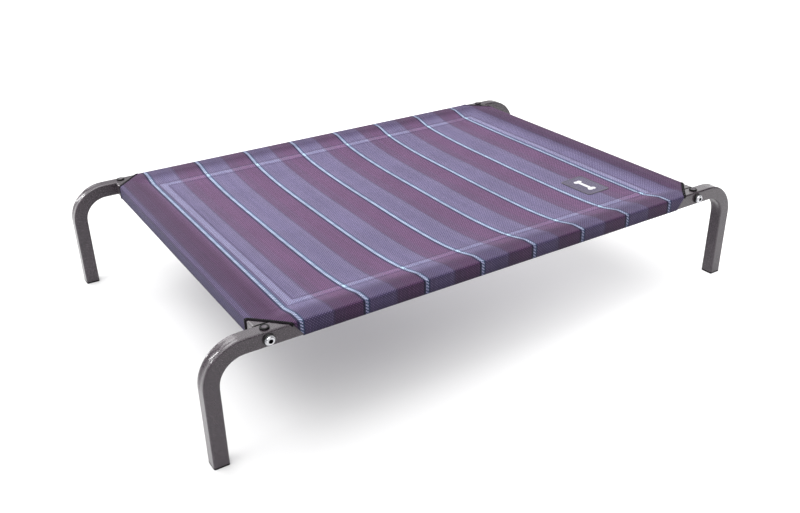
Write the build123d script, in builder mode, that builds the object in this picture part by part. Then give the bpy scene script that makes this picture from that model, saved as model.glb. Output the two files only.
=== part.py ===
"""Raised pet bed: a bolted square-tube frame that stretches a striped mesh sling.

Frame of reference: +X runs along the long side, +Y towards the far side, +Z up.
The origin is on the floor, under the middle of the bed. All sizes are in millimetres.
"""

from build123d import *
from math import cos, radians
import os

# ---- driving dimensions ----
TUBE = 25.0  # outer width of every square tube
WALL = 1.5  # tube wall
TUBE_CORNER = 3.0  # outer corner radius of the tube
RAIL_SPACING = 682.0  # between the centrelines of the two long rails
END_SPACING = 890.0  # between the centrelines of the two end rails
LEG_SPACING = 1071.0  # between the centrelines of the legs on one side
RAIL_TOP = 200.0  # floor to the top face of the tubes
BEND_RADIUS = 55.0  # centreline radius where a rail turns down into a leg
HOLLOW_DEPTH = 1.0  # how far bending draws in the outer and inner walls, half way round
HOLLOW_WIDTH = 15.0

BOLT_D = 7.9  # M8 shank, a little under nominal
BOLT_CLEARANCE_D = 8.5
BOLT_LENGTH = 50.0
BOLT_FLANGE_D = 17.0
BOLT_DOME_D = 14.0
BOLT_FLANGE_T = 1.4
BOLT_DOME_T = 3.0
BOLT_DOME_R = 2.4  # rounding of the dome's rim
BOLT_SOCKET = 5.0  # across the flats of the hexagon socket
BOLT_SOCKET_DEPTH = 2.8
WASHER_D = 19.0
WASHER_T = 3.0
WASHER_R = 0.6  # rounding of its two outer edges

INSERT_FLANGE_T = 1.5  # flange of the nylon insert, between end rail and long rail
INSERT_LENGTH = 30.0
INSERT_CLEARANCE = 0.1  # per side, insert body to tube bore
NUT_FLATS = 13.0
NUT_T = 6.5
NUT_BORE_D = 8.0
NUT_DEPTH = 10.0  # from the insert's flange face to the nut

PLUG_HEAD_D = 15.0
PLUG_HEAD_T = 2.6
PLUG_HEAD_R = 1.2  # rounding of its rim
PLUG_DISH_R = 22.0  # sphere that hollows the top of the plug
PLUG_DISH_DEPTH = 0.6
PLUG_STEM_D = 10.0
PLUG_STEM_L = 6.0
PLUG_HOLE_D = 10.4

FOOT_T = 3.0  # rubber between the floor and the end of the leg
FOOT_CHAMFER = 0.6
FOOT_STEM_L = 18.0
FOOT_STEM = 20.4
FOOT_STEM_R = 1.0
FOOT_RIB = 21.8
FOOT_RIB_R = 1.4
FOOT_RIB_T = 2.0
FOOT_RIB_HEIGHTS = (5.0, 10.0, 15.0)

CLOTH = 1.0  # thickness of the mesh cloth
SEAM_Y = 290.0  # line where the cloth starts to climb over a long rail
SEAM_X = 384.0  # line where it starts to climb over an end rail
HEM = 13.0  # width of the sewn overlap inside the seam lines
PANEL_LAP = 2.0  # how far the panel stops short of the seam line
CUT_X = 397.0  # where the corner cut-out reaches the outer face of a long rail
CUT_Y = 301.0  # where it reaches the outer face of an end rail
PLAN_REACH = 60.0  # plan outlines of the sleeves run past the cloth's outer faces by this much
BINDING_W = 3.0
BINDING_T = 1.4

LABEL_SIZE = (54.0, 82.0)
LABEL_CENTRE = (311.0, -187.0)
LABEL_CORNER = 5.0
LABEL_T = 0.8
BONE_SPAN = 40.0  # between the centres of the two ends of the bone emblem
BONE_KNOB_R = 5.0
BONE_KNOB_GAP = 7.5  # between the centres of the two knobs at one end
BONE_SHAFT = 7.0
BONE_T = 0.5

# ---- derived values ----
HALF = TUBE / 2
BORE = TUBE - 2 * WALL
RAIL_Y = RAIL_SPACING / 2
END_X = END_SPACING / 2
LEG_X = LEG_SPACING / 2
AXIS_Z = RAIL_TOP - HALF
INNER_Y = RAIL_Y - HALF
OUTER_Y = RAIL_Y + HALF
INNER_X = END_X - HALF
OUTER_X = END_X + HALF
PANEL_Z = AXIS_Z  # underside of the flat cloth, level with the tube centrelines
# The mitre between two sleeves runs from the corner of the seam lines to the corner of the rails'
# inner edges. The corner cut-out crosses it here.
CUT_SLOPE = (OUTER_Y - CUT_Y) / (OUTER_X - CUT_X)
MITRE_SLOPE = (INNER_Y - SEAM_Y) / (INNER_X - SEAM_X)
MITRE_X = (CUT_Y + CUT_SLOPE * OUTER_X - SEAM_Y + MITRE_SLOPE * SEAM_X) / (CUT_SLOPE + MITRE_SLOPE)
MITRE_Y = SEAM_Y + MITRE_SLOPE * (MITRE_X - SEAM_X)
CORNERS = {
    "near_left": (-1, -1),
    "near_right": (1, -1),
    "far_left": (-1, 1),
    "far_right": (1, 1),
}

os.makedirs("parts", exist_ok=True)


def save(piece, name):
    """Label a finished piece and write it under its own name."""
    piece.label = name
    export_step(piece, f"parts/{name}.step")


def tube_section():
    """Square tube profile with rounded corners, in the current sketch."""
    RectangleRounded(TUBE, TUBE, TUBE_CORNER)
    RectangleRounded(BORE, BORE, TUBE_CORNER - WALL, mode=Mode.SUBTRACT)


# ---- frame: two long rails, each one bent tube that is also two legs ----
def bend_hollow(cx, side, wall):
    """Space that bending takes from one wall of the tube; wall is 1 outer, -1 inner.

    It is deepest half way round the bend and runs out at both ends, so it is turned about
    an axis that is shifted along the bisector of the bend.
    """
    half_way = radians(45)
    shift = -wall * HOLLOW_DEPTH / (1 - cos(half_way))
    radius = BEND_RADIUS + wall * (HALF - HOLLOW_DEPTH) - shift
    centre = Vector(
        cx * (LEG_X - BEND_RADIUS + shift * cos(half_way)),
        side * RAIL_Y,
        AXIS_Z - BEND_RADIUS + shift * cos(half_way),
    )
    rim = radius + wall * HOLLOW_DEPTH
    outside = rim + wall * WALL
    with BuildPart() as hollow:
        with BuildSketch(Plane(origin=centre, x_dir=(0, 1, 0), z_dir=(0, 0, -cx))):
            with BuildLine():
                ThreePointArc((-HOLLOW_WIDTH / 2, rim), (0, radius), (HOLLOW_WIDTH / 2, rim))
                Polyline(
                    (HOLLOW_WIDTH / 2, rim), (HOLLOW_WIDTH / 2, outside),
                    (-HOLLOW_WIDTH / 2, outside), (-HOLLOW_WIDTH / 2, rim),
                )
            make_face()
        revolve(axis=Axis(centre, (0, -cx, 0)), revolution_arc=90)
    return hollow.part


def side_rail(side):
    """One long rail with its two legs; side is -1 near, +1 far."""
    hollows = [bend_hollow(cx, side, wall) for cx in (-1, 1) for wall in (-1, 1)]
    with BuildPart() as rail:
        with BuildLine(Plane.XZ.offset(-side * RAIL_Y)):
            FilletPolyline(
                (-LEG_X, FOOT_T),
                (-LEG_X, AXIS_Z),
                (LEG_X, AXIS_Z),
                (LEG_X, FOOT_T),
                radius=BEND_RADIUS,
            )
        with BuildSketch(Plane((-LEG_X, side * RAIL_Y, FOOT_T))):
            tube_section()
        sweep()
        add(hollows, mode=Mode.SUBTRACT)
        # bolt holes through both walls, in line with the end rails
        with BuildSketch(Plane.XZ.offset(-side * RAIL_Y)):
            with Locations((-END_X, AXIS_Z), (END_X, AXIS_Z)):
                Circle(BOLT_CLEARANCE_D / 2)
        extrude(amount=TUBE, both=True, mode=Mode.SUBTRACT)
        # plug holes in the top wall only
        with BuildSketch(Plane.XY.offset(RAIL_TOP)):
            with Locations((-END_X, side * RAIL_Y), (END_X, side * RAIL_Y)):
                Circle(PLUG_HOLE_D / 2)
        extrude(amount=-2 * WALL, mode=Mode.SUBTRACT)
    return rail.part


save(side_rail(-1), "near_side_rail")
save(side_rail(1), "far_side_rail")


# ---- frame: two straight end rails ----
def end_rail(side):
    """One straight tube between the inserts; side is -1 left, +1 right."""
    length = 2 * (INNER_Y - INSERT_FLANGE_T)
    with BuildPart() as rail:
        with BuildSketch(Plane.XZ.offset(-length / 2)):
            with Locations((side * END_X, AXIS_Z)):
                tube_section()
        extrude(amount=length)
    return rail.part


save(end_rail(-1), "left_end_rail")
save(end_rail(1), "right_end_rail")


# ---- corner joints: insert, nut, washer, bolt and plug at each corner ----
def outward(cx, cy, distance):
    """Plane across an end rail's axis, at |Y| = distance, facing away from the middle."""
    return Plane(
        origin=(cx * END_X, cy * distance, AXIS_Z),
        x_dir=(1, 0, 0),
        z_dir=(0, cy, 0),
    )


def end_insert(cx, cy):
    """Nylon insert that closes the end rail and holds the nut."""
    body = BORE - 2 * INSERT_CLEARANCE
    with BuildPart() as insert:
        with BuildSketch(outward(cx, cy, INNER_Y)):
            RectangleRounded(TUBE, TUBE, TUBE_CORNER)
        extrude(amount=-INSERT_FLANGE_T)
        with BuildSketch(outward(cx, cy, INNER_Y - INSERT_FLANGE_T)):
            RectangleRounded(body, body, TUBE_CORNER - WALL)
        extrude(amount=-INSERT_LENGTH)
        with BuildSketch(outward(cx, cy, INNER_Y)):
            Circle(BOLT_CLEARANCE_D / 2)
        extrude(amount=-2 * INSERT_LENGTH, mode=Mode.SUBTRACT)
        with BuildSketch(outward(cx, cy, INNER_Y - NUT_DEPTH)):
            RegularPolygon(NUT_FLATS / 2 + INSERT_CLEARANCE, 6, major_radius=False)
        extrude(amount=-NUT_T, mode=Mode.SUBTRACT)
    return insert.part


def insert_nut(cx, cy):
    """Hexagon nut held inside the insert."""
    with BuildPart() as nut:
        with BuildSketch(outward(cx, cy, INNER_Y - NUT_DEPTH)):
            RegularPolygon(NUT_FLATS / 2, 6, major_radius=False)
            Circle(NUT_BORE_D / 2, mode=Mode.SUBTRACT)
        extrude(amount=-NUT_T)
    return nut.part


def bolt_washer(cx, cy):
    """Black nylon washer between the bolt head and the long rail."""
    with BuildPart() as washer:
        with BuildSketch(outward(cx, cy, OUTER_Y)):
            Circle(WASHER_D / 2)
            Circle(BOLT_CLEARANCE_D / 2, mode=Mode.SUBTRACT)
        extrude(amount=WASHER_T)
        fillet(washer.edges().filter_by(GeomType.CIRCLE).sort_by(SortBy.RADIUS)[-2:], WASHER_R)
    return washer.part


def corner_bolt(cx, cy):
    """Flanged button-head screw with a hexagon socket."""
    seat = OUTER_Y + WASHER_T
    with BuildPart() as bolt:
        with BuildSketch(outward(cx, cy, seat)):
            Circle(BOLT_FLANGE_D / 2)
        extrude(amount=BOLT_FLANGE_T)
        with BuildSketch(outward(cx, cy, seat + BOLT_FLANGE_T)):
            Circle(BOLT_DOME_D / 2)
        extrude(amount=BOLT_DOME_T)
        crown = bolt.edges().filter_by(GeomType.CIRCLE).sort_by(Axis.Y)
        fillet(crown[-1] if cy > 0 else crown[0], BOLT_DOME_R)
        with BuildSketch(outward(cx, cy, seat)):
            Circle(BOLT_D / 2)
        extrude(amount=-BOLT_LENGTH)
        with BuildSketch(outward(cx, cy, seat + BOLT_FLANGE_T + BOLT_DOME_T)):
            RegularPolygon(BOLT_SOCKET / 2, 6, major_radius=False)
        extrude(amount=-BOLT_SOCKET_DEPTH, mode=Mode.SUBTRACT)
    return bolt.part


def rail_plug(cx, cy):
    """Push-in plug with a dished round head, on top of the long rail."""
    with BuildPart() as plug:
        with BuildSketch(Plane((cx * END_X, cy * RAIL_Y, RAIL_TOP))):
            Circle(PLUG_HEAD_D / 2)
        extrude(amount=PLUG_HEAD_T)
        fillet(plug.edges().filter_by(GeomType.CIRCLE).sort_by(Axis.Z)[-1], PLUG_HEAD_R)
        with BuildSketch(Plane((cx * END_X, cy * RAIL_Y, RAIL_TOP))):
            Circle(PLUG_STEM_D / 2)
        extrude(amount=-PLUG_STEM_L)
        dish_z = RAIL_TOP + PLUG_HEAD_T + PLUG_DISH_R - PLUG_DISH_DEPTH
        with Locations((cx * END_X, cy * RAIL_Y, dish_z)):
            Sphere(PLUG_DISH_R, mode=Mode.SUBTRACT)
    return plug.part


def foot(cx, cy):
    """Rubber foot: a pad as wide as the tube, on a ribbed stem pushed into the leg."""
    x, y = cx * LEG_X, cy * RAIL_Y
    with BuildPart() as pad:
        with BuildSketch(Plane((x, y, 0))):
            RectangleRounded(TUBE, TUBE, TUBE_CORNER)
        extrude(amount=FOOT_T)
        chamfer(pad.faces().sort_by(Axis.Z)[0].edges(), FOOT_CHAMFER)
        with BuildSketch(Plane((x, y, FOOT_T))):
            RectangleRounded(FOOT_STEM, FOOT_STEM, FOOT_STEM_R)
        extrude(amount=FOOT_STEM_L)
        for height in FOOT_RIB_HEIGHTS:
            with BuildSketch(Plane((x, y, FOOT_T + height))):
                RectangleRounded(FOOT_RIB, FOOT_RIB, FOOT_RIB_R)
            extrude(amount=FOOT_RIB_T)
    return pad.part


for corner, (cx, cy) in CORNERS.items():
    save(end_insert(cx, cy), f"end_insert_{corner}")
    save(insert_nut(cx, cy), f"insert_nut_{corner}")
    save(bolt_washer(cx, cy), f"bolt_washer_{corner}")
    save(corner_bolt(cx, cy), f"corner_bolt_{corner}")
    save(rail_plug(cx, cy), f"rail_plug_{corner}")
    save(foot(cx, cy), f"foot_{corner}")

# ---- sling: a flat panel and four sewn sleeves, each round one rail ----
with BuildPart() as sling_panel:
    with BuildSketch(Plane.XY.offset(PANEL_Z)):
        Rectangle(2 * (SEAM_X - PANEL_LAP), 2 * (SEAM_Y - PANEL_LAP))
    extrude(amount=CLOTH)
save(sling_panel.part, "sling_panel")


def sleeve_loop(seam):
    """Closed loop of cloth round a tube, in the current sketch, seen along the tube.

    Sketch x points outward from the tube's centre and sketch y up. seam is the distance
    from the tube's centreline in to the seam line.
    """
    flat = HALF - TUBE_CORNER  # where the cloth starts to turn round the tube
    out = HALF + CLOTH
    bend = TUBE_CORNER + CLOTH
    with BuildLine() as outside:
        Polyline(
            (flat, out), (-HALF, out), (-seam, CLOTH), (-seam - PANEL_LAP, CLOTH),
            (-seam - PANEL_LAP, 0), (-seam - HEM, 0), (-seam - HEM, -CLOTH),
            (-seam, -CLOTH), (-HALF, -out), (flat, -out),
        )
        CenterArc((flat, -flat), bend, 270, 90)
        Line((out, -flat), (out, flat))
        CenterArc((flat, flat), bend, 0, 90)
    make_face(outside.edges())
    with BuildLine() as inside:
        Polyline((flat, HALF), (-HALF, HALF), (-seam, 0), (-HALF, -HALF), (flat, -HALF))
        CenterArc((flat, -flat), TUBE_CORNER, 270, 90)
        Line((HALF, -flat), (HALF, flat))
        CenterArc((flat, flat), TUBE_CORNER, 0, 90)
    make_face(inside.edges(), mode=Mode.SUBTRACT)


def long_sleeve(side):
    """Sleeve round a long rail; side is -1 near, +1 far."""
    inner = SEAM_Y - HEM
    plane = Plane(origin=(0, side * RAIL_Y, AXIS_Z), x_dir=(0, side, 0), z_dir=(side, 0, 0))
    with BuildPart() as sleeve:
        with BuildSketch(plane):
            sleeve_loop(RAIL_Y - SEAM_Y)
        extrude(amount=OUTER_X, both=True)
        with BuildSketch(Plane.XY.offset(RAIL_TOP - 2 * TUBE)):
            Polygon(
                (-SEAM_X + HEM, side * inner), (-SEAM_X, side * SEAM_Y),
                (-MITRE_X, side * MITRE_Y), (-CUT_X, side * OUTER_Y),
                (-CUT_X, side * (OUTER_Y + PLAN_REACH)), (CUT_X, side * (OUTER_Y + PLAN_REACH)),
                (CUT_X, side * OUTER_Y), (MITRE_X, side * MITRE_Y),
                (SEAM_X, side * SEAM_Y), (SEAM_X - HEM, side * inner),
                align=None,
            )
        extrude(amount=4 * TUBE, mode=Mode.INTERSECT)
    return sleeve.part


def end_sleeve(side):
    """Sleeve round an end rail; side is -1 left, +1 right."""
    inner = SEAM_X - HEM
    plane = Plane(origin=(side * END_X, 0, AXIS_Z), x_dir=(side, 0, 0), z_dir=(0, -side, 0))
    with BuildPart() as sleeve:
        with BuildSketch(plane):
            sleeve_loop(END_X - SEAM_X)
        extrude(amount=OUTER_Y, both=True)
        with BuildSketch(Plane.XY.offset(RAIL_TOP - 2 * TUBE)):
            Polygon(
                (side * inner, -SEAM_Y + HEM), (side * SEAM_X, -SEAM_Y),
                (side * MITRE_X, -MITRE_Y), (side * OUTER_X, -CUT_Y),
                (side * (OUTER_X + PLAN_REACH), -CUT_Y), (side * (OUTER_X + PLAN_REACH), CUT_Y),
                (side * OUTER_X, CUT_Y), (side * MITRE_X, MITRE_Y),
                (side * SEAM_X, SEAM_Y), (side * inner, SEAM_Y - HEM),
                align=None,
            )
        extrude(amount=4 * TUBE, mode=Mode.INTERSECT)
    return sleeve.part


save(long_sleeve(-1), "near_sleeve")
save(long_sleeve(1), "far_sleeve")
save(end_sleeve(-1), "left_sleeve")
save(end_sleeve(1), "right_sleeve")


def corner_binding(cx, cy):
    """Black tape along the cut edge of the cloth, lying on top of the two rails."""
    run = Vector(CUT_X, OUTER_Y) - Vector(OUTER_X, CUT_Y)
    across = Vector(-run.Y, run.X).normalized() * -BINDING_W
    ends = [Vector(OUTER_X, CUT_Y), Vector(CUT_X, OUTER_Y)]
    outline = ends + [point + across for point in reversed(ends)]
    with BuildPart() as tape:
        with BuildSketch(Plane.XY.offset(RAIL_TOP)):
            Polygon(*[(cx * point.X, cy * point.Y) for point in outline], align=None)
        extrude(amount=BINDING_T)
    return tape.part


for corner, (cx, cy) in CORNERS.items():
    save(corner_binding(cx, cy), f"corner_binding_{corner}")

# ---- label: a sewn patch with a raised bone emblem ----
PATCH_Z = PANEL_Z + CLOTH
with BuildPart() as label_patch:
    with BuildSketch(Plane((*LABEL_CENTRE, PATCH_Z))):
        RectangleRounded(*LABEL_SIZE, LABEL_CORNER)
    extrude(amount=LABEL_T)
save(label_patch.part, "label_patch")

with BuildPart() as label_emblem:
    with BuildSketch(Plane((*LABEL_CENTRE, PATCH_Z + LABEL_T))):
        Rectangle(BONE_SHAFT, BONE_SPAN)
        with GridLocations(BONE_KNOB_GAP, BONE_SPAN, 2, 2):
            Circle(BONE_KNOB_R)
    extrude(amount=BONE_T)
save(label_emblem.part, "label_emblem")
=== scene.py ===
"""Looks of the raised pet bed: a striped mesh sling stretched in a hammertone tube frame.

The frame, bolts, washers, plugs and feet are the CAD nodes with procedural finishes. The sling,
its stitching, its bindings and its sewn label are modelled here, in place of the plain solids
that stand for them. Lengths are in metres.
"""

import math

import bmesh
import bpy
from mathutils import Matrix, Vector, noise


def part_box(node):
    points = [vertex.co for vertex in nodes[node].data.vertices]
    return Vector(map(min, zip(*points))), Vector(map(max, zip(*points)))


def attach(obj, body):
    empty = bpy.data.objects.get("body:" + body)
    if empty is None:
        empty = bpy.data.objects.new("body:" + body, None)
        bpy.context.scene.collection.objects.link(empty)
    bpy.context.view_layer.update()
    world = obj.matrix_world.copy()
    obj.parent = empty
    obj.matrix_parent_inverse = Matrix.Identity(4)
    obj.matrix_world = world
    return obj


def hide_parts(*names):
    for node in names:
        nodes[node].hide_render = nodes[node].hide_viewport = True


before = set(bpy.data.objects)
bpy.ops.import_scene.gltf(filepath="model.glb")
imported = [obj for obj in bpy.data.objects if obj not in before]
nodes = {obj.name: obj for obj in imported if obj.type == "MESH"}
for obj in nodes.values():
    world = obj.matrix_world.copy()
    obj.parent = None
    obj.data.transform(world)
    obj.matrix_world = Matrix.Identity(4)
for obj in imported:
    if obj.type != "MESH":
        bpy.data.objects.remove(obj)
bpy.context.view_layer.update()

MM = 0.001

# ---- sizes read from the frame ----
panel_low, panel_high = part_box("sling_panel")
end_sleeve_low, end_sleeve_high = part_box("right_sleeve")
long_sleeve_low, long_sleeve_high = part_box("far_sleeve")
rail_low, rail_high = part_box("far_side_rail")
end_low, end_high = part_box("right_end_rail")
bolt_low, bolt_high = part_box("corner_bolt_far_right")
plug_low, plug_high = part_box("rail_plug_far_right")
patch_low, patch_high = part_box("label_patch")
bone_low, bone_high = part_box("label_emblem")

CLOTH = panel_high.z - panel_low.z
PANEL_LAP = 2 * MM  # how far the plain panel stops short of the seam lines
SEAM_X = panel_high.x + PANEL_LAP  # seam lines, where the cloth starts to climb to the rails
SEAM_Y = panel_high.y + PANEL_LAP
HEM = SEAM_X - end_sleeve_low.x  # width of the overlap sewn under the panel
CLOTH_X = end_sleeve_high.x  # outer faces of the cloth
CLOTH_Y = long_sleeve_high.y
CLOTH_TOP = long_sleeve_high.z
CLOTH_BOTTOM = long_sleeve_low.z
INNER_X = end_low.x  # inner faces of the rails, where the cloth reaches its full height
INNER_Y = rail_low.y
OUTER_X = end_high.x
OUTER_Y = rail_high.y
BOLT_X = (bolt_low.x + bolt_high.x) / 2
BOLT_Z = (bolt_low.z + bolt_high.z) / 2
PLUG_X = (plug_low.x + plug_high.x) / 2
PLUG_Y = (plug_low.y + plug_high.y) / 2
PLUG_R = (plug_high.x - plug_low.x) / 2

# ---- corner cut-out: straight in plan between the outer faces of the two rails ----
CUT_Y = 302 * MM  # where it meets an end rail's outer face
CUT_X = 406 * MM  # and a long rail's outer face
CUT_LEAN = 15 * MM  # how far the edge on the long rails' faces leans inward to the bottom
HEM_CLEAR = 8 * MM  # how far the overlaps stop short of each other in the corners
CUT_SLOPE = (OUTER_Y - CUT_Y) / (OUTER_X - CUT_X)
MITRE_SLOPE = (INNER_Y - SEAM_Y) / (INNER_X - SEAM_X)
MITRE_X = (CUT_Y + CUT_SLOPE * OUTER_X - SEAM_Y + MITRE_SLOPE * SEAM_X) / (CUT_SLOPE + MITRE_SLOPE)
MITRE_Y = SEAM_Y + MITRE_SLOPE * (MITRE_X - SEAM_X)

# ---- shape of the stretched cloth ----
SEAM_Z = 192 * MM  # top of the cloth at the seam lines
SAG = 11 * MM  # how far the middle hangs below the seam lines
SAG_SKEW = 0.3  # and how much more of it is towards the left end
SAG_POWER = 4  # a higher power gives a flatter middle and steeper sides
CORNER_POWER = 5  # a higher power gives a sharper crease where two slopes meet
CREST_BLEND = 0.15  # share of the slope over which its top is rounded off
FOLD_R = 4 * MM  # outer radius where the cloth turns round a tube
HEM_DROP = 2.1 * CLOTH  # from the top of the panel down to the top of the overlap
HEM_RIDGE = 0.5 * MM  # how much the overlap lifts the panel above it
RIDGE_OUT = 1 * MM  # where that lift starts, outside the overlap
RIDGE_IN = 1.5 * MM  # and where it is full, inside it

# ---- unevenness of the cloth; scales are noise cells to the metre ----
WAVE = 0.5 * MM  # slow waves
WAVE_SCALE = 9
WAVE_SEED = 1.7
PUCKER = 0.3 * MM  # puckers along the seams
PUCKER_SCALE = 45
PUCKER_SEED = 4.2
PUCKER_REACH = 14 * MM
PULL = 1.1 * MM  # pulls into the corners
PULL_SCALE = 3.2  # noise cells to the radian round a corner
PULL_START = 25 * MM
PULL_REACH = 75 * MM
EDGE_CALM = 22 * MM  # the unevenness dies out over this width towards the outer edges
RAIL_CALM = 0.6  # share of it that the rails take away

# ---- mesh of the cloth ----
STEP = 6 * MM  # spacing in the open panel
FINE_STEP = 2.2 * MM  # and over the overlap
FINE_MARGIN = 3 * MM  # how far the fine spacing goes on past the overlap
WELD = 0.01 * MM  # points nearer than this are one
MITRE_STEPS = 9
TOP_STEPS = 5
ARC_STEPS = 6
FACE_STEPS = 4
RETURN_STEPS = 8
HEM_STEPS = 4

# ---- stripes ----
STRIPE_PITCH = 108.6 * MM
FIRST_STRIPE = -393.5 * MM  # centre of the first pale blue line
THREAD = 2.4 * MM  # spacing of the woven threads


def smooth_step(low, high, value):
    """0 below low, 1 above high, and a smooth rise between them."""
    share = max(0.0, min(1.0, (value - low) / (high - low)))
    return share * share * (3 - 2 * share)


def rounded_min(value, limit, blend):
    """The smaller of value and limit, rounded off where they meet."""
    share = max(0.0, min(1.0, 0.5 + (limit - value) / (2 * blend)))
    return limit + (value - limit) * share - blend * share * (1 - share)


def climb(x, y):
    """Share of the climb from the seam lines to the rail tops, 0 to 1."""
    along_x = max(0.0, (abs(x) - SEAM_X) / (INNER_X - SEAM_X))
    along_y = max(0.0, (abs(y) - SEAM_Y) / (INNER_Y - SEAM_Y))
    both = (along_x**CORNER_POWER + along_y**CORNER_POWER) ** (1 / CORNER_POWER)
    lost_to_rounding = CREST_BLEND / 4
    regained = lost_to_rounding * smooth_step(1 - CREST_BLEND, 1 + CREST_BLEND, both)
    return min(1.0, rounded_min(both, 1.0, CREST_BLEND) + regained)


def ripple(x, y):
    """Unevenness of sewn cloth: slow waves, puckers along the seams, pulls into the corners."""
    past_x = abs(x) - SEAM_X
    past_y = abs(y) - SEAM_Y
    slow = WAVE * noise.noise(Vector((WAVE_SCALE * x, WAVE_SCALE * y, WAVE_SEED)))
    pucker = PUCKER * noise.noise(Vector((PUCKER_SCALE * x, PUCKER_SCALE * y, PUCKER_SEED)))
    angle = math.atan2(past_y, past_x)
    corner = (math.copysign(1, x), math.copysign(1, y))
    pull = PULL * noise.noise(Vector((PULL_SCALE * angle, *corner)))
    to_seam = min(abs(past_x), abs(past_y))
    to_corner = math.hypot(past_x, past_y)
    to_edge = min(CLOTH_X - abs(x), CLOTH_Y - abs(y))
    by_seam = math.exp(-((to_seam / PUCKER_REACH) ** 2))
    by_corner = math.exp(-((to_corner / PULL_REACH) ** 2)) * smooth_step(0, PULL_START, to_corner)
    return smooth_step(0, EDGE_CALM, to_edge) * (slow + pucker * by_seam + pull * by_corner)


def hem_ridge(x, y):
    """Lift of the panel where the overlap lies under it."""
    inside = min(SEAM_X - abs(x), SEAM_Y - abs(y))
    outer_side = smooth_step(-RIDGE_OUT, RIDGE_IN, inside)
    inner_side = smooth_step(HEM + RIDGE_OUT, HEM - RIDGE_IN, inside)
    return HEM_RIDGE * outer_side * inner_side


def sling_z(x, y):
    """Height of the top of the cloth."""
    across = max(0.0, 1 - (x / SEAM_X) ** SAG_POWER)
    along = max(0.0, 1 - (y / SEAM_Y) ** SAG_POWER)
    climbing = climb(x, y)
    sag = SAG * across * along * (1 - SAG_SKEW * x / SEAM_X)
    height = SEAM_Z + (CLOTH_TOP - SEAM_Z) * climbing - sag
    return height + ripple(x, y) * (1 - RAIL_CALM * climbing) + hem_ridge(x, y)


# ---- mesh helpers ----
def spaced(start, end, step):
    """Even values from start to end, about step apart."""
    count = max(1, round(abs(end - start) / step))
    return [start + (end - start) * i / count for i in range(count + 1)]


def finish_mesh(bm, name):
    """Turn a bmesh into a smooth-shaded mesh."""
    mesh = bpy.data.meshes.new(name)
    bm.to_mesh(mesh)
    bm.free()
    mesh.polygons.foreach_set("use_smooth", [True] * len(mesh.polygons))
    return mesh


def new_piece(name, mesh, material):
    """An object for a finished mesh, riding on the frame, with its finish."""
    piece = bpy.data.objects.new(name, mesh)
    bpy.context.scene.collection.objects.link(piece)
    mesh.materials.append(material)
    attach(piece, "root")
    return piece


def add_grid(bm, layer, points, flats, flip):
    """Add a grid of faces; flats are the same points with the cloth laid flat."""
    verts = [[bm.verts.new(point) for point in row] for row in points]
    for i in range(len(points) - 1):
        for j in range(len(points[0]) - 1):
            corners = [(i, j), (i, j + 1), (i + 1, j + 1), (i + 1, j)]
            if flip:
                corners.reverse()
            face = bm.faces.new([verts[r][c] for r, c in corners])
            for loop, (r, c) in zip(face.loops, corners):
                loop[layer].uv = flats[r][c]


def add_tube(bm, rings):
    """Join rings of points into a tube with capped ends."""
    verts = [[bm.verts.new(point) for point in ring] for ring in rings]
    count = len(rings[0])
    for first, second in zip(verts, verts[1:]):
        for j in range(count):
            k = (j + 1) % count
            bm.faces.new((first[j], first[k], second[k], second[j]))
    bm.faces.new(list(reversed(verts[0])))
    bm.faces.new(verts[-1])


# ---- procedural finishes ----
def srgb(red, green, blue):
    """Linear colour for an everyday 0-255 one."""
    parts = (channel / 255 for channel in (red, green, blue))
    return (*(p / 12.92 if p <= 0.04045 else ((p + 0.055) / 1.055) ** 2.4 for p in parts), 1.0)


class Tree:
    """Short ways to add nodes to a node tree."""

    def __init__(self, tree):
        self.tree = tree

    def feed(self, socket, value):
        """Link a socket to another, or set it."""
        if isinstance(value, bpy.types.NodeSocket):
            self.tree.links.new(value, socket)
        else:
            socket.default_value = value

    def node(self, kind, inputs=None, **settings):
        """A new node with its settings and inputs."""
        made = self.tree.nodes.new(kind)
        for key, value in settings.items():
            setattr(made, key, value)
        for key, value in (inputs or {}).items():
            self.feed(made.inputs[key], value)
        return made

    def math(self, operation, first, second=0.5):
        """Result of one sum."""
        return self.node("ShaderNodeMath", {0: first, 1: second}, operation=operation).outputs[0]

    def between(self, value, low, high, start=0.0, end=1.0):
        """value taken from low..high to start..end, smoothly and clamped."""
        inputs = {"Value": value, "From Min": low, "From Max": high, "To Min": start, "To Max": end}
        return self.node("ShaderNodeMapRange", inputs, interpolation_type="SMOOTHSTEP").outputs[0]

    def distance(self, first, second):
        """Straight distance for two offsets at right angles."""
        squares = self.math("MULTIPLY", first, first), self.math("MULTIPLY", second, second)
        return self.math("SQRT", self.math("ADD", *squares))

    def mix(self, share, first, second, blend="MIX"):
        """Mix of two colours."""
        inputs = {0: share, 6: first, 7: second}
        return self.node("ShaderNodeMix", inputs, data_type="RGBA", blend_type=blend).outputs[2]

    def shade(self, share, colour, factor):
        """A colour multiplied by another, by the share given."""
        return self.mix(share, colour, factor, "MULTIPLY")

    def ramp(self, share, stops):
        """Colour along a list of (position, colour) stops."""
        made = self.node("ShaderNodeValToRGB", {"Fac": share})
        elements = made.color_ramp.elements
        while len(elements) < len(stops):
            elements.new(0.5)
        for element, (position, colour) in zip(elements, stops):
            element.position = position
            element.color = colour
        return made.outputs["Color"]

    def grey(self, value):
        """Grey colour from a value."""
        return self.node("ShaderNodeCombineColor", {0: value, 1: value, 2: value}).outputs[0]


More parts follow.
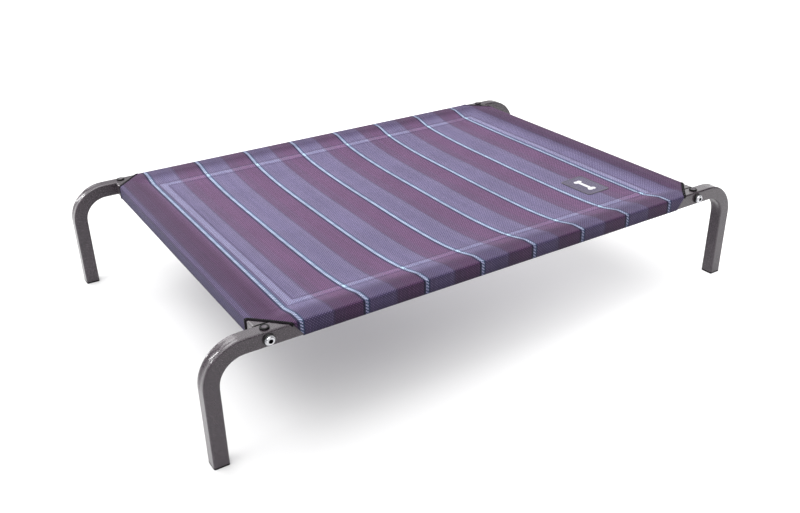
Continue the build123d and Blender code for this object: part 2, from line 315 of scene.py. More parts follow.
class Finish(Tree):
    """One procedural material."""

    def __init__(self, name):
        self.material = bpy.data.materials.new(name)
        self.material.use_nodes = True
        super().__init__(self.material.node_tree)
        self.shader = self.tree.nodes["Principled BSDF"]
        self.place = self.node("ShaderNodeTexCoord").outputs["Object"]

    def noise(self, scale, detail=2.0, place=None):
        """Noise from 0 to 1, scale cells to the metre."""
        inputs = {"Vector": place or self.place, "Scale": scale, "Detail": detail}
        return self.node("ShaderNodeTexNoise", inputs).outputs["Fac"]

    def bump(self, height, strength, distance, under=None):
        """Normal for a height, on top of an earlier normal."""
        inputs = {"Height": height, "Strength": strength, "Distance": distance}
        if under:
            inputs["Normal"] = under
        return self.node("ShaderNodeBump", inputs).outputs["Normal"]

    def set(self, **inputs):
        """Set or link the shader's own sockets; underscores stand for spaces."""
        for key, value in inputs.items():
            self.feed(self.shader.inputs[key.replace("_", " ")], value)
        return self.material


def grey(value):
    """Linear grey."""
    return (value, value, value, 1.0)


# ---- colours of the cloth ----
PALE_BLUE = srgb(206, 218, 242)
TEAL_LINE = srgb(96, 132, 158)
PALE_BLUE_DARK = srgb(52, 92, 118)
TEAL_EDGE = srgb(90, 98, 132)
BLUE = srgb(131, 123, 155)
BLUE_DEEP = srgb(124, 117, 151)
BETWEEN = srgb(112, 100, 129)
MAROON_GREY = srgb(116, 92, 123)
MAROON = srgb(120, 89, 123)
NAVY_EDGE = srgb(60, 58, 92)
SEAM_SHADE = srgb(78, 67, 98)  # painted shade: the shadow line along each side of a seam band

# multiplied into the cloth's colour
OVER_TUBE = srgb(198, 189, 200)  # what the dark tube behind the mesh takes away
FACE_SHADE = srgb(206, 203, 213)  # painted shade: what the cloth loses down a rail's outer face
THREAD_SHADE = srgb(196, 190, 204)  # what the weft takes away
GAP_SHADE = srgb(96, 88, 104)  # what the gaps between threads take away
END_FACE_SHADE = (0.82, 0.80, 1.10, 1.0)  # painted shade: deepens and blues the end faces
DOUBLED = (1.49, 1.66, 1.49, 1.0)  # what a second layer of cloth under the mesh adds

# ---- pattern of the cloth: a pair is where a change starts and where it is complete ----
LINE_SIDE = (0.030, 0.020)  # side of a pale blue line, in stripe pitches from its middle
ROPE_ALONG = 180.0  # dashes to the metre along a pale blue line
ROPE_ACROSS = 150.0  # and across it
DASH_SIDE = (-0.1, 0.4)
DASH_DEPTH = 0.9
LINE_GLOW = 0.4  # how much less the tube darkens a pale blue line
BACKED = (10 * MM, 38 * MM)  # outwards from a seam line
FACE_TOP = (-2 * MM, 2 * MM)  # along the cloth, past the edge of its top side
FACE_FOOT = (8 * MM, 26 * MM)  # the same, for the lower part of a face
END_TOP = (2 * MM, 10 * MM)  # the same, for the end faces' deeper, bluer painted shade
BAND_OUT = 0.4 * MM  # soft edge of a seam band, outside its border
BAND_IN = 1.2 * MM  # and inside it
INNER_SHADE = HEM + 2.4 * MM  # painted shadow lines, inwards and outwards from a seam line
OUTER_SHADE = 1.8 * MM
SHADE_SIDE = (2.4 * MM, 0.6 * MM)
SHADE_DEPTH = 0.42
CROSSING = (-0.12, 0.12)  # change from weft on top to warp on top
GAP_SIDE = (0.0, 0.35)
LINE_FILL = 0.7  # the pale blue lines are woven closer


def striped(f, across, along):
    """Stripe colours, and where the pale blue lines are. Their dashes slant like a rope's."""
    turns = f.math("DIVIDE", f.math("SUBTRACT", across, FIRST_STRIPE), STRIPE_PITCH)
    stripe = f.ramp(f.math("FRACT", turns), [
        (0.0, PALE_BLUE), (0.017, PALE_BLUE), (0.023, TEAL_LINE), (0.036, TEAL_EDGE), (0.062, BLUE),
        (0.25, BLUE_DEEP), (0.470, BLUE), (0.474, BETWEEN), (0.500, BETWEEN), (0.504, MAROON_GREY),
        (0.64, MAROON_GREY), (0.70, MAROON), (0.93, MAROON), (0.944, NAVY_EDGE), (0.968, NAVY_EDGE),
        (0.978, PALE_BLUE), (1.0, PALE_BLUE),
    ])
    on_line = f.between(f.math("PINGPONG", turns, 0.5), *LINE_SIDE)
    slant = f.math("ADD", f.math("MULTIPLY", along, ROPE_ALONG), f.math("MULTIPLY", across, ROPE_ACROSS))
    dash = f.between(f.math("SINE", f.math("MULTIPLY", slant, 2 * math.pi)), *DASH_SIDE)
    dark_dash = f.math("MULTIPLY", on_line, f.math("MULTIPLY", dash, DASH_DEPTH))
    return f.mix(dark_dash, stripe, PALE_BLUE_DARK), on_line


def over_rails(f, colour, past_x, past_y, on_line):
    """Darker cloth over the rails where the dark tube shows through, darkest down their outer faces with
    painted shade, deeper and bluer on the end faces.
    """
    backed = f.between(f.math("MAXIMUM", past_x, past_y), *BACKED)
    backed = f.math("MULTIPLY", backed, f.math("SUBTRACT", 1.0, f.math("MULTIPLY", on_line, LINE_GLOW)))
    colour = f.shade(backed, colour, OVER_TUBE)
    past_end = f.math("SUBTRACT", past_x, CLOTH_X - SEAM_X)
    past_side = f.math("SUBTRACT", past_y, CLOTH_Y - SEAM_Y)
    past_top = f.math("MAXIMUM", past_end, past_side)
    # painted shade down a rail's outer face, darker towards the foot
    colour = f.shade(f.between(past_top, *FACE_TOP), colour, FACE_SHADE)
    colour = f.shade(f.between(past_top, *FACE_FOOT), colour, FACE_SHADE)
    # painted shade: the end faces darker and bluer
    return f.shade(f.between(past_end, *END_TOP), colour, END_FACE_SHADE)


def seam_bands(f, colour, past):
    """Pale bands where the overlap lies under the panel, with a painted shadow line on each side."""
    from_inside = f.between(past, -HEM - BAND_OUT, -HEM + BAND_IN)
    from_outside = f.between(past, BAND_OUT, -BAND_IN)
    colour = f.shade(f.math("MULTIPLY", from_inside, from_outside), colour, DOUBLED)
    # painted shadow lines along both sides of the band
    inner_line = f.between(f.math("ABSOLUTE", f.math("ADD", past, INNER_SHADE)), *SHADE_SIDE)
    outer_line = f.between(f.math("ABSOLUTE", f.math("SUBTRACT", past, OUTER_SHADE)), *SHADE_SIDE)
    on_shade = f.math("MULTIPLY", f.math("MAXIMUM", inner_line, outer_line), SHADE_DEPTH)
    return f.mix(on_shade, colour, SEAM_SHADE)


def plain_weave(f, colour, across, along, on_line):
    """Coloured warp along Y and darker weft along X; returns the colour and the threads' height."""
    warp = f.math("SINE", f.math("MULTIPLY", across, math.pi / THREAD))
    weft = f.math("SINE", f.math("MULTIPLY", along, math.pi / THREAD))
    weft_up = f.math("SUBTRACT", 1.0, f.between(f.math("MULTIPLY", warp, weft), *CROSSING))
    crown = f.math("MULTIPLY", f.math("ABSOLUTE", warp), f.math("ABSOLUTE", weft))
    filled = f.math("MAXIMUM", f.between(crown, *GAP_SIDE), f.math("MULTIPLY", on_line, LINE_FILL))
    threads = f.shade(weft_up, colour, THREAD_SHADE)
    return f.shade(f.math("SUBTRACT", 1.0, filled), threads, GAP_SHADE), crown


def mesh_cloth():
    """Striped mesh of coated yarn; the stripes and threads follow the cloth laid flat."""
    f = Finish("striped_mesh")
    flat = f.node("ShaderNodeUVMap", uv_map="flat").outputs["UV"]
    parts = f.node("ShaderNodeSeparateXYZ", {0: flat})
    across = parts.outputs["X"]
    along = parts.outputs["Y"]
    past_x = f.math("SUBTRACT", f.math("ABSOLUTE", across), SEAM_X)
    past_y = f.math("SUBTRACT", f.math("ABSOLUTE", along), SEAM_Y)
    colour, on_line = striped(f, across, along)
    colour = over_rails(f, colour, past_x, past_y, on_line)
    colour = seam_bands(f, colour, f.math("MAXIMUM", past_x, past_y))
    colour, crown = plain_weave(f, colour, across, along, on_line)

    # uneven yarn: long streaks along the warp and slow patches
    stretch = f.node("ShaderNodeMapping", {"Vector": flat, "Scale": (700.0, 6.0, 1.0)})
    streaks = f.between(f.noise(1.0, 3.0, stretch.outputs[0]), 0.3, 0.7, 0.86, 1.08)
    patches = f.between(f.noise(14.0, 2.0), 0.3, 0.7, -0.05, 0.05)
    return f.set(
        Base_Color=f.shade(1.0, colour, f.grey(f.math("ADD", streaks, patches))),
        Roughness=f.between(crown, 0.0, 1.0, 0.72, 0.46), Normal=f.bump(crown, 0.75, 0.35 * MM),
        Specular_IOR_Level=0.14, Sheen_Weight=0.06, Sheen_Roughness=0.4,
    )


def hammertone():
    """Dark grey hammertone powder coat: fine mottling under a clear, glossier film."""
    f = Finish("powder_coat")
    cells = f.node("ShaderNodeTexVoronoi", {"Vector": f.place, "Scale": 480.0}, feature="SMOOTH_F1")
    hammered = f.between(cells.outputs["Distance"], 0.1, 0.75)
    speckle = f.noise(900.0, 3.0)
    cloudy = f.noise(22.0, 3.0)
    base = f.ramp(speckle, [
        (0.32, srgb(26, 18, 25)), (0.48, srgb(47, 37, 45)),
        (0.58, srgb(63, 51, 61)), (0.68, srgb(112, 98, 110)),
    ])
    mottled = f.mix(f.math("MULTIPLY", hammered, 0.45), base, srgb(36, 32, 37))
    colour = f.mix(f.between(cloudy, 0.35, 0.7, 0.0, 0.18), mottled, srgb(32, 28, 34))
    fine = f.bump(speckle, 0.15, 0.1 * MM)
    normal = f.bump(hammered, 0.4, 0.16 * MM, fine)
    return f.set(
        Base_Color=colour, Metallic=0.1, Roughness=f.between(speckle, 0.3, 0.7, 0.24, 0.38),
        Normal=normal, Coat_Weight=0.4, Coat_Roughness=0.08,
    )


# ---- screw and plug: distances from the axis, where a change starts and where it is complete ----
SOCKET_SIDE = (4.0 * MM, 3.1 * MM)
HEAD_RIM = (7.3 * MM, 8.1 * MM)
TURNING = 9000.0  # turning marks, in radians to the metre
DISH_SIDE = (PLUG_R * 0.6, PLUG_R * 0.48)


def zinc():
    """Bright zinc plate with turning marks, with painted shade in the drive socket and at the head's rim."""
    f = Finish("bright_zinc")
    parts = f.node("ShaderNodeSeparateXYZ", {0: f.place})
    sideways = f.math("SUBTRACT", f.math("ABSOLUTE", parts.outputs["X"]), BOLT_X)
    upward = f.math("SUBTRACT", parts.outputs["Z"], BOLT_Z)
    from_axis = f.distance(sideways, upward)
    marks = f.math("SINE", f.math("MULTIPLY", from_axis, TURNING))
    dull = f.noise(420.0, 3.0)
    plate = f.ramp(dull, [
        (0.3, srgb(176, 177, 182)), (0.6, srgb(214, 214, 218)), (0.8, srgb(160, 160, 158)),
    ])
    # painted shade: dark in and round the drive socket, and round the head's rim
    socket_shade = f.between(from_axis, *SOCKET_SIDE)
    rim_shade = f.between(from_axis, *HEAD_RIM, 0.0, 0.8)
    shaded = f.math("ADD", socket_shade, rim_shade)
    return f.set(
        Base_Color=f.mix(shaded, plate, srgb(22, 21, 23)), Metallic=1.0,
        Roughness=f.between(dull, 0.3, 0.7, 0.18, 0.34), Normal=f.bump(marks, 0.2, 0.03 * MM),
    )


def dished_plug():
    """Black plug: a plain rim round a greyer dish, a mottled painted reflection."""
    f = Finish("plug_plastic")
    parts = f.node("ShaderNodeSeparateXYZ", {0: f.place})
    sideways = f.math("SUBTRACT", f.math("ABSOLUTE", parts.outputs["X"]), PLUG_X)
    endways = f.math("SUBTRACT", f.math("ABSOLUTE", parts.outputs["Y"]), PLUG_Y)
    dish = f.between(f.distance(sideways, endways), *DISH_SIDE)
    scuffs = f.noise(900.0, 3.0)
    # painted reflection: the dish lighter grey than the black rim
    dish_reflection = f.ramp(scuffs, [(0.3, srgb(70, 66, 70)), (0.7, srgb(112, 106, 112))])
    return f.set(
        Base_Color=f.mix(dish, grey(0.002), dish_reflection), Roughness=f.between(dish, 0.0, 1.0, 0.4, 0.6),
        Normal=f.bump(scuffs, 0.3, 0.03 * MM), Specular_IOR_Level=0.2,
    )


def moulding(name, tone, light, rough, shine, grain, depth):
    """Moulded black plastic or rubber with a fine grain and faint scuffs."""
    f = Finish(name)
    fine = f.noise(grain, 3.0)
    scuffs = f.noise(160.0, 4.0)
    colour = f.ramp(scuffs, [(0.35, grey(tone)), (0.62, grey(tone * 1.25)), (0.8, grey(light))])
    return f.set(
        Base_Color=colour, Roughness=f.between(scuffs, 0.3, 0.75, rough - 0.06, rough + 0.12),
        Normal=f.bump(fine, 0.35, depth), Specular_IOR_Level=shine,
    )


def woven_tape(name, dark, light, pitch, shine):
    """Close woven tape or patch: two crossing sets of threads."""
    f = Finish(name)
    parts = f.node("ShaderNodeSeparateXYZ", {0: f.place})
    lengthwise = f.math("ADD", parts.outputs["X"], parts.outputs["Z"])
    crosswise = f.math("ADD", parts.outputs["Y"], parts.outputs["Z"])
    first = f.math("ABSOLUTE", f.math("SINE", f.math("MULTIPLY", lengthwise, math.pi / pitch)))
    second = f.math("ABSOLUTE", f.math("SINE", f.math("MULTIPLY", crosswise, math.pi / pitch)))
    thread = f.math("MULTIPLY", first, second)
    fuzz = f.noise(900.0, 3.0)
    shade = f.math("ADD", f.math("MULTIPLY", thread, 0.7), f.math("MULTIPLY", fuzz, 0.4))
    colour = f.ramp(shade, [(0.12, dark), (0.8, light)])
    return f.set(
        Base_Color=colour, Roughness=f.between(thread, 0.0, 1.0, 0.92, 0.7),
        Normal=f.bump(thread, 0.6, 0.2 * MM), Specular_IOR_Level=shine,
    )


def thread_finish(name, dark, light, twist):
    """Twisted sewing thread."""
    f = Finish(name)
    parts = f.node("ShaderNodeSeparateXYZ", {0: f.place})
    slant = f.math("ADD", f.math("ADD", parts.outputs["X"], parts.outputs["Y"]), parts.outputs["Z"])
    ply = f.math("ABSOLUTE", f.math("SINE", f.math("MULTIPLY", slant, math.pi / twist)))
    fuzz = f.noise(2500.0, 2.0)
    colour = f.ramp(f.math("MULTIPLY", f.math("ADD", ply, fuzz), 0.5), [(0.15, dark), (0.75, light)])
    return f.set(
        Base_Color=colour, Roughness=f.between(ply, 0.0, 1.0, 0.75, 0.45),
        Normal=f.bump(ply, 0.5, 0.1 * MM), Sheen_Weight=0.15,
    )


CLOTH_FINISH = mesh_cloth()
FRAME_FINISH = hammertone()
BOLT_FINISH = zinc()
WASHER_FINISH = moulding("black_nylon", 0.007, 0.02, 0.45, 0.4, 2600.0, 0.05 * MM)
PLUG_FINISH = dished_plug()
FOOT_FINISH = moulding("foot_rubber", 0.002, 0.008, 0.70, 0.08, 1300.0, 0.12 * MM)
TAPE_FINISH = woven_tape("binding_tape", srgb(5, 4, 6), srgb(19, 15, 21), 0.9 * MM, 0.12)
PATCH_FINISH = woven_tape("label_patch", srgb(56, 53, 66), srgb(112, 106, 127), 0.8 * MM, 0.3)
BORDER_FINISH = thread_finish("label_border", srgb(44, 41, 50), srgb(88, 83, 94), 0.5 * MM)
BONE_FINISH = thread_finish("label_bone", srgb(176, 174, 180), srgb(222, 222, 226), 0.45 * MM)
SEAM_THREAD = thread_finish("seam_thread", srgb(70, 62, 92), srgb(122, 112, 152), 0.5 * MM)
TAPE_THREAD = thread_finish("tape_thread", srgb(12, 10, 14), srgb(34, 29, 38), 0.5 * MM)

FRAME_FINISHES = {
    "side_rail": FRAME_FINISH,
    "end_rail": FRAME_FINISH,
    "end_insert": WASHER_FINISH,
    "bolt_washer": WASHER_FINISH,
    "insert_nut": BOLT_FINISH,
    "corner_bolt": BOLT_FINISH,
    "rail_plug": PLUG_FINISH,
    "foot": FOOT_FINISH,
}
for name, node in nodes.items():
    for kind, material in FRAME_FINISHES.items():
        if kind in name:
            node.data.materials.clear()
            node.data.materials.append(material)


# ---- sling: one sewn sheet over the four rails ----
def laid_flat(value, seam, inner):
    """Distance from the middle line along the top of the cloth."""
    run = inner - seam
    stretch = math.hypot(run, CLOTH_TOP - SEAM_Z) / run
    beyond = max(0.0, abs(value) - seam)
    climbing = min(beyond, run)
    return math.copysign(min(abs(value), seam) + climbing * stretch + beyond - climbing, value)


def arc(start, steps):
    """Offsets from the centre of a quarter turn of the cloth, from an angle in quarter turns."""
    angles = [math.pi / 2 * (start - i / steps) for i in range(1, steps + 1)]
    return [(FOLD_R * math.cos(angle), FOLD_R * math.sin(angle)) for angle in angles]


def flap_stations(seam, inner, outer, half_seam, mitre, half_mitre, half_edge, half_foot, half_hem):
    """Stations of the cloth from a seam line over a rail and back under the panel.

    A station is (distance from the bed's middle line, height, half length along the rail). The
    height is None on the top side, and negative where it is measured down from the top of the
    cloth, under the panel.
    """
    turn = outer - FOLD_R
    stations = []
    for i in range(MITRE_STEPS + 1):
        share = i / MITRE_STEPS
        at = seam + (mitre - seam) * share
        stations.append((at, None, half_seam + (half_mitre - half_seam) * share))
    for i in range(1, TOP_STEPS + 1):
        share = i / TOP_STEPS
        at = mitre + (turn - mitre) * share
        stations.append((at, None, half_mitre + (half_edge - half_mitre) * (at - mitre) / (outer - mitre)))
    high = CLOTH_TOP - FOLD_R
    low = CLOTH_BOTTOM + FOLD_R
    half_turn = stations[-1][2]
    for i, (out, up) in enumerate(arc(1, ARC_STEPS), 1):
        stations.append((turn + out, high + up, half_turn + (half_edge - half_turn) * i / ARC_STEPS))
    for i in range(1, FACE_STEPS + 1):
        share = i / FACE_STEPS
        stations.append((outer, high + (low - high) * share, half_edge + (half_foot - half_edge) * share))
    stations += [(turn + out, low + up, half_foot) for out, up in arc(0, ARC_STEPS)]
    stations += [(turn + (inner - turn) * share, CLOTH_BOTTOM, half_foot) for share in (0.5, 1.0)]
    under = SEAM_Z - HEM_DROP
    for i in range(1, RETURN_STEPS + 1):
        share = 1 - i / RETURN_STEPS
        height = under + (CLOTH_BOTTOM - under) * share
        half = half_foot + (half_hem - half_foot) * (1 - share)
        stations.append((seam + (inner - seam) * share, height, half))
    for i in range(1, HEM_STEPS + 1):
        inward = HEM * i / HEM_STEPS
        stations.append((seam - inward, -HEM_DROP, half_hem - inward))
    return stations


END_STATIONS = flap_stations(
    SEAM_X, INNER_X, CLOTH_X, SEAM_Y, MITRE_X, MITRE_Y, CUT_Y, CUT_Y, SEAM_Y - HEM_CLEAR
)
LONG_STATIONS = flap_stations(
    SEAM_Y, INNER_Y, CLOTH_Y, SEAM_X, MITRE_Y, MITRE_X, CUT_X, CUT_X - CUT_LEAN, SEAM_X - HEM_CLEAR
)


def cloth_lines(seam):
    """Mesh lines between two seams, closer together over the overlap. They run from -1 to 1."""
    edge = seam - HEM - FINE_MARGIN
    fine = spaced(-seam, -edge, FINE_STEP)
    middle = spaced(-edge, edge, STEP)
    values = fine[:-1] + middle + [-value for value in reversed(fine[:-1])]
    return [value / seam for value in values]


def add_flap(bm, layer, side, stations, lines, along_x):
    """One flap of the sling: over its rail, round it and back under the panel.

    Returns how far its edge is from the middle of the cloth laid flat.
    """
    seam, inner, other_seam, other_inner = (
        (SEAM_Y, INNER_Y, SEAM_X, INNER_X) if along_x else (SEAM_X, INNER_X, SEAM_Y, INNER_Y)
    )
    points = []
    flats = []
    flat_out = seam
    before = None
    for at, height, half in stations:
        row = []
        flat_row = []
        if height is None:
            flat_out = laid_flat(at, seam, inner)
            here = (at, CLOTH_TOP)
        else:
            here = (at, height if height > 0 else SEAM_Z + height)
            flat_out += math.dist(before, here)
        before = here
        for line in lines:
            place = line * half
            x, y = (place, side * at) if along_x else (side * at, place)
            if height is None:
                z = sling_z(x, y)
            elif height > 0:
                z = height
            else:
                z = sling_z(x, y) + height
            flat_place = laid_flat(place, other_seam, other_inner)
            row.append((x, y, z))
            flat_row.append((flat_place, side * flat_out) if along_x else (side * flat_out, flat_place))
        points.append(row)
        flats.append(flat_row)
    add_grid(bm, layer, points, flats, flip=(side > 0) != along_x)
    return flat_out


def make_sling():
    """The whole sling as one open sheet, given its thickness by a modifier.

    Returns it with its length and width laid flat, and its area.
    """
    bm = bmesh.new()
    layer = bm.loops.layers.uv.new("flat")
    lines_x = cloth_lines(SEAM_X)
    lines_y = cloth_lines(SEAM_Y)
    xs = [line * SEAM_X for line in lines_x]
    ys = [line * SEAM_Y for line in lines_y]
    points = [[(x, y, sling_z(x, y)) for x in xs] for y in ys]
    flats = [[(x, y) for x in xs] for y in ys]
    add_grid(bm, layer, points, flats, flip=False)
    for side in (-1, 1):
        half_length = add_flap(bm, layer, side, END_STATIONS, lines_y, along_x=False)
        half_width = add_flap(bm, layer, side, LONG_STATIONS, lines_x, along_x=True)
    bmesh.ops.remove_doubles(bm, verts=bm.verts, dist=WELD)
    area = sum(face.calc_area() for face in bm.faces)
    sling = new_piece("sling_cloth", finish_mesh(bm, "sling_cloth"), CLOTH_FINISH)
    thick = sling.modifiers.new("thickness", "SOLIDIFY")
    thick.thickness = CLOTH
    thick.offset = -1
    thick.use_even_offset = True
    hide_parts("sling_panel", "near_sleeve", "far_sleeve", "left_sleeve", "right_sleeve")
    return sling, (2 * half_length, 2 * half_width), area


sling, sling_flat, sling_area = make_sling()


# ---- stitching ----
STITCH_SIDES = 6
# (place along it in half lengths, thickness and lift in radii)
STITCH_SHAPE = (
    (-1.0, 0.35, -0.5), (-0.62, 0.9, 0.35), (0.0, 1.0, 0.7), (0.62, 0.9, 0.35), (1.0, 0.35, -0.5),
)


def add_stitch(bm, middle, along, up, length, radius):
    """One stitch: a short arched thread whose ends go down into the cloth."""
    along = along.normalized()
    across = up.cross(along).normalized()
    up = along.cross(across)
    rings = []
    for reach, girth, lift in STITCH_SHAPE:
        centre = middle + along * (reach * length / 2) + up * (lift * radius)
        ring = []
        for i in range(STITCH_SIDES):
            angle = 2 * math.pi * i / STITCH_SIDES
            ring.append(centre + (across * math.cos(angle) + up * math.sin(angle)) * radius * girth)
        rings.append(ring)
    add_tube(bm, rings)


def walk(points, pitch):
    """(place, direction) at even distances along a run of points."""
    places = []
    left = pitch / 2
    for start, end in zip(points, points[1:]):
        span = end - start
        length = span.length
        while left < length:
            places.append((start + span * (left / length), span))
            left += pitch
        left -= length
    return places


UPWARD = Vector((0, 0, 1))
SEAM_PITCH = 4.0 * MM
SEAM_STITCH = 3.0 * MM
SEAM_STITCH_R = 0.38 * MM
SEAM_ROW_INSET = 1.6 * MM  # from each edge of the overlap


def make_seam_stitches():
    """Two rows of stitches all round the panel, holding down the overlap."""
    bm = bmesh.new()
    for inset in (SEAM_ROW_INSET, HEM - SEAM_ROW_INSET):
        x = SEAM_X - inset
        y = SEAM_Y - inset
        corners = [Vector(c) for c in ((-x, -y, 0), (x, -y, 0), (x, y, 0), (-x, y, 0), (-x, -y, 0))]
        for start, end in zip(corners, corners[1:]):
            for place, direction in walk([start, end], SEAM_PITCH):
                place.z = sling_z(place.x, place.y)
                add_stitch(bm, place, direction, UPWARD, SEAM_STITCH, SEAM_STITCH_R)
    return new_piece("seam_stitches", finish_mesh(bm, "seam_stitches"), SEAM_THREAD)


seam_stitches = make_seam_stitches()


# ---- binding tape on the four corner cut-outs ----
TAPE_PITCH = 3.2 * MM
TAPE_STITCH = 2.3 * MM
TAPE_STITCH_R = 0.28 * MM
TAPE_ROW = 2  # the stitches run down the middle of this side of the section
# (out from the cut edge, up from the top of the cloth), in millimetres
TAPE_SECTION = (
    (-2.4, 0.05), (-2.2, 0.38), (-1.0, 0.55), (1.0, 0.58), (2.4, 0.45), (3.0, 0.0),
    (3.0, -0.6), (2.5, -0.95), (0.0, -0.98), (-1.2, -0.9),
)


def tape_route(cx, cy):
    """(place, outward normal) along the cut edge, from under an end rail to the long rail's face."""
    middle = (CLOTH_TOP + CLOTH_BOTTOM) / 2
    straight = (CLOTH_TOP - CLOTH_BOTTOM) / 2 - FOLD_R
    route = []
    for at, height, half in END_STATIONS:
        if height is None and at >= MITRE_X:
            route.append((Vector((cx * at, cy * half, sling_z(at, half))), UPWARD))
        elif height is not None and height >= 0 and (height <= CLOTH_BOTTOM or at > INNER_X):
            out = max(0.0, at - CLOTH_X + FOLD_R) / FOLD_R
            level = height - middle
            rise = (level - max(-straight, min(straight, level))) / FOLD_R
            route.append((Vector((cx * at, cy * half, height)), Vector((cx * out, 0, rise))))
    route.reverse()
    for at, height, half in LONG_STATIONS[MITRE_STEPS + 1 :]:
        if height is None:
            route.append((Vector((cx * half, cy * at, sling_z(half, at))), UPWARD))
        elif height >= CLOTH_TOP - FOLD_R:
            out = (at - CLOTH_Y + FOLD_R) / FOLD_R
            rise = (height - CLOTH_TOP + FOLD_R) / FOLD_R
            route.append((Vector((cx * half, cy * at, height)), Vector((0, cy * out, rise))))
        else:
            break
    return route


def make_tape(corner, cx, cy):
    """Tape folded over the cut edge of one corner, with a row of stitches."""
    route = tape_route(cx, cy)
    places = [place for place, _ in route]
    rings = []
    for i, (place, normal) in enumerate(route):
        along = (places[min(i + 1, len(places) - 1)] - places[max(i - 1, 0)]).normalized()
        up = (normal - along * normal.dot(along)).normalized()
        away = along.cross(up)
        towards_panel = away.y * cy < 0 or (i > 0 and away.x * cx + away.y * cy < 0)
        if towards_panel:
            away = -away
        rings.append([place + away * (a * MM) + up * (b * MM) for a, b in TAPE_SECTION])
    bm = bmesh.new()
    add_tube(bm, rings)
    bmesh.ops.recalc_face_normals(bm, faces=bm.faces)
    tape = new_piece(f"binding_{corner}", finish_mesh(bm, f"binding_{corner}"), TAPE_FINISH)
    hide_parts(f"corner_binding_{corner}")
    row = [(ring[TAPE_ROW] + ring[TAPE_ROW + 1]) / 2 for ring in rings]
    stitches = bmesh.new()
    for place, direction in walk(row, TAPE_PITCH):
        nearest = min(range(len(row)), key=lambda i: (row[i] - place).length)
        add_stitch(stitches, place, direction, route[nearest][1], TAPE_STITCH, TAPE_STITCH_R)
    stitches_name = f"binding_stitches_{corner}"
    new_piece(stitches_name, finish_mesh(stitches, stitches_name), TAPE_THREAD)


for cx, end in ((-1, "left"), (1, "right")):
    for cy, side in ((-1, "near"), (1, "far")):
        make_tape(f"{side}_{end}", cx, cy)


# ---- sewn label with a raised bone ----
PATCH_CORNER_R = 5 * MM
PATCH_TOP = ((0.3 * MM, 0.1 * MM), (2.2 * MM, 0.0), (0.3 * MM, -0.15 * MM))  # (inset, rise)
BORDER_PITCH = 0.95 * MM
BORDER_INSET = 1.0 * MM
BORDER_STITCH = 2.7 * MM
BORDER_STITCH_R = 0.5 * MM
KNOB_R = 5 * MM
SHAFT_SHARE = 0.68  # half width of the bone's shaft, as a share of a knob's radius
BONE_TOP = ((0.5 * MM, 0.25 * MM), (0.9 * MM, 0.2 * MM), (1.0 * MM, 0.1 * MM))


def rounded_outline(low, high, radius, steps=7):
    """Corner-rounded rectangle as plan points, anticlockwise."""
    points = []
    left = low.x + radius
    right = high.x - radius
    near = low.y + radius
    far = high.y - radius
    for i, centre in enumerate(((right, near), (right, far), (left, far), (left, near))):
        centre = Vector(centre)
        for j in range(steps + 1):
            angle = math.pi / 2 * (i - 1 + j / steps)
            points.append(centre + Vector((math.cos(angle), math.sin(angle))) * radius)
    return points


def bone_outline(low, high, knob, steps=12):
    """Outline of a bone lying along Y in its box, anticlockwise."""
    centre = (low + high) / 2
    gap = (high.x - low.x) / 2 - knob
    span = (high.y - low.y) / 2 - knob
    shaft = knob * SHAFT_SHARE
    start = -math.pi / 2 - math.asin((gap - shaft) / knob)
    end = math.pi - math.acos(gap / knob)
    quarter = []
    for j in range(steps + 1):
        angle = start + (end - start) * j / steps
        quarter.append((gap + knob * math.cos(angle), span + knob * math.sin(angle)))
    half = quarter + [(-x, y) for x, y in reversed(quarter[:-1])]
    outline = half + [(-x, -y) for x, y in half]
    return [Vector((centre.x + x, centre.y + y)) for x, y in outline]


def settle(bm, lift):
    """Move a mesh made on the floor plane up to the cloth, and lift above it."""
    for vert in bm.verts:
        vert.co.z += sling_z(vert.co.x, vert.co.y) + lift


def raised_shape(outline, height, insets):
    """Plan outline raised by height, with (inset, rise) steps that round its top."""
    bm = bmesh.new()
    face = bm.faces.new([bm.verts.new((point.x, point.y, 0)) for point in outline])
    wall = bmesh.ops.extrude_face_region(bm, geom=[face])
    top = [item for item in wall["geom"] if isinstance(item, bmesh.types.BMFace)]
    for vert in {vert for item in top for vert in item.verts}:
        vert.co.z += height
    for inset, rise in insets:
        bmesh.ops.inset_region(bm, faces=top, thickness=inset, depth=rise)
    bmesh.ops.triangulate(bm, faces=[item for item in bm.faces if len(item.verts) > 4])
    bmesh.ops.recalc_face_normals(bm, faces=bm.faces)
    return bm


def make_label():
    """Grey woven patch, its overlocked border and the satin-stitched bone."""
    patch_t = patch_high.z - patch_low.z
    outline = rounded_outline(patch_low, patch_high, PATCH_CORNER_R)
    bm = raised_shape(outline, patch_t, PATCH_TOP)
    settle(bm, 0.0)
    patch = new_piece("label_patch_woven", finish_mesh(bm, "label_patch_woven"), PATCH_FINISH)
    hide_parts("label_patch")

    border = bmesh.new()
    loop = [Vector((point.x, point.y, 0)) for point in outline + outline[:1]]
    centre = (patch_low + patch_high) / 2
    for place, direction in walk(loop, BORDER_PITCH):
        across = direction.cross(UPWARD).normalized()
        if across.dot(place - Vector((centre.x, centre.y, 0))) > 0:
            across = -across
        middle = place + across * BORDER_INSET
        middle.z = sling_z(middle.x, middle.y) + patch_t
        add_stitch(border, middle, across, UPWARD, BORDER_STITCH, BORDER_STITCH_R)
    border_mesh = finish_mesh(border, "label_border_stitches")
    border_stitches = new_piece("label_border_stitches", border_mesh, BORDER_FINISH)

    bone_t = bone_high.z - bone_low.z
    bm = raised_shape(bone_outline(bone_low, bone_high, KNOB_R), bone_t, BONE_TOP)
    settle(bm, patch_t)
    bone = new_piece("label_bone", finish_mesh(bm, "label_bone"), BONE_FINISH)
    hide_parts("label_emblem")
    return [patch, border_stitches, bone]


label_pieces = make_label()

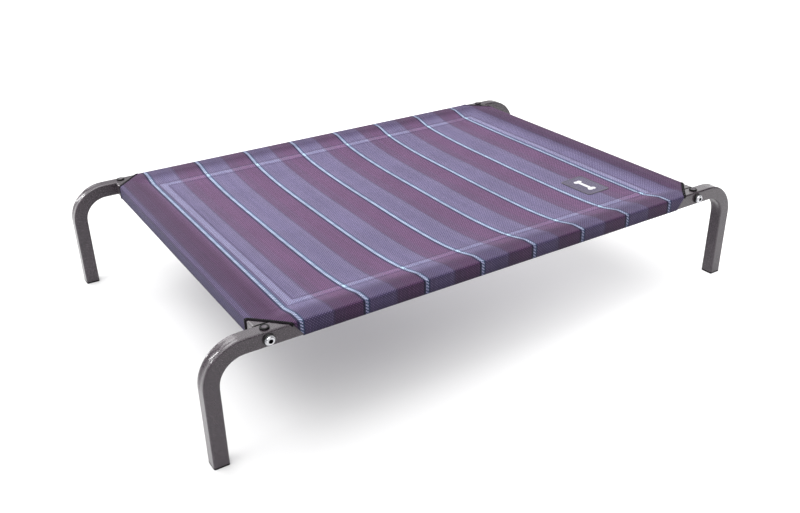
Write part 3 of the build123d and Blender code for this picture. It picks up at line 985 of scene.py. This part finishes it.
# ---- floor, light and camera ----
FLOOR_REACH = 150.0
FLOOR_GLOW = (0.20, 0.58)  # painted light: the floor glows, brighter towards the right, lifting the bed's shadow there
GLOW_RISE = (-0.45, 0.5)  # from this X to that
LIGHT_AXIS = Vector((-0.30, -0.02, 1.0)).normalized()
LIGHT_SIDE = (0.66, 0.76)  # edge of the overhead light, as cosines from its axis
LIGHT_GLOW = 2.3
WALL_TOP = (0.32, 0.42)  # where the walls go dimmer, as heights on a unit sphere
WALL_GLOW = 0.75
UPPER_GLOW = 0.25


def make_floor():
    """White studio floor that glows, brighter towards the right: painted light."""
    bm = bmesh.new()
    corners = ((-1, -1), (1, -1), (1, 1), (-1, 1))
    bm.faces.new([bm.verts.new((x * FLOOR_REACH, y * FLOOR_REACH, 0)) for x, y in corners])
    floor = bpy.data.objects.new("floor", finish_mesh(bm, "floor"))
    bpy.context.scene.collection.objects.link(floor)
    f = Finish("white_floor")
    from_left = f.node("ShaderNodeSeparateXYZ", {0: f.place}).outputs["X"]
    # painted light: the floor's glow rises from left to right
    glow = f.between(from_left, *GLOW_RISE, *FLOOR_GLOW)
    floor.data.materials.append(f.set(
        Base_Color=grey(0.58), Roughness=0.9, Specular_IOR_Level=0.1,
        Emission_Color=grey(1.0), Emission_Strength=glow,
    ))


def make_light(name, kind, energy, location, target, **settings):
    """One lamp aimed at a point."""
    lamp = bpy.data.lights.new(name, kind)
    lamp.energy = energy
    for key, value in settings.items():
        setattr(lamp, key, value)
    holder = bpy.data.objects.new(name, lamp)
    holder.location = location
    holder.rotation_euler = (Vector(target) - Vector(location)).to_track_quat("-Z", "Y").to_euler()
    holder.visible_camera = False
    bpy.context.scene.collection.objects.link(holder)


def make_studio():
    """Pale walls, a dimmer band above them and one wide soft light overhead."""
    world = bpy.data.worlds.new("studio")
    world.use_nodes = True
    t = Tree(world.node_tree)
    direction = t.node("ShaderNodeTexCoord").outputs["Generated"]
    height = t.node("ShaderNodeSeparateXYZ", {0: direction}).outputs["Z"]
    toward = t.node("ShaderNodeVectorMath", {0: direction, 1: LIGHT_AXIS}, operation="DOT_PRODUCT")
    walls = t.between(height, *WALL_TOP, WALL_GLOW, UPPER_GLOW)
    overhead = t.between(toward.outputs["Value"], *LIGHT_SIDE, 0.0, LIGHT_GLOW)
    background = world.node_tree.nodes["Background"]
    t.feed(background.inputs["Color"], t.grey(t.math("ADD", walls, overhead)))
    bpy.context.scene.world = world


make_floor()
make_light("key", "SUN", 0.8, (-0.45, 0.1, 1.0), (0, 0, 0), angle=math.radians(30))
make_light("back_box", "AREA", 13.0, (-0.6, 1.35, 1.5), (0, 0, 0.1), shape="SQUARE", size=0.9)
make_light("rail_box", "AREA", 2.8, (0.2, 1.35, 1.3), (-0.45, -0.34, 0.2), shape="SQUARE", size=0.7)
make_light("right_box", "AREA", 3.8, (2.4, 1.1, 1.15), (0.45, 0, 0.2), shape="SQUARE", size=1.0)
make_light("side_box", "AREA", 46.0, (-2.6, 4.2, 1.35), (0, 0, 0.1), shape="RECTANGLE", size=2.0, size_y=0.3)
make_studio()
bpy.context.scene.view_settings.view_transform = "Standard"

# the camera is fitted to the perspective of the photograph
camera_data = bpy.data.cameras.new("camera")
camera_data.lens = 39.19
camera_data.sensor_width = 36
camera_data.shift_x = -0.0253
camera = bpy.data.objects.new("camera", camera_data)
camera.location = (-0.8390, -1.3399, 0.8426)
camera.rotation_euler = [math.radians(angle) for angle in (63.148, 0.451, -33.616)]
bpy.context.scene.collection.objects.link(camera)
bpy.context.scene.camera = camera
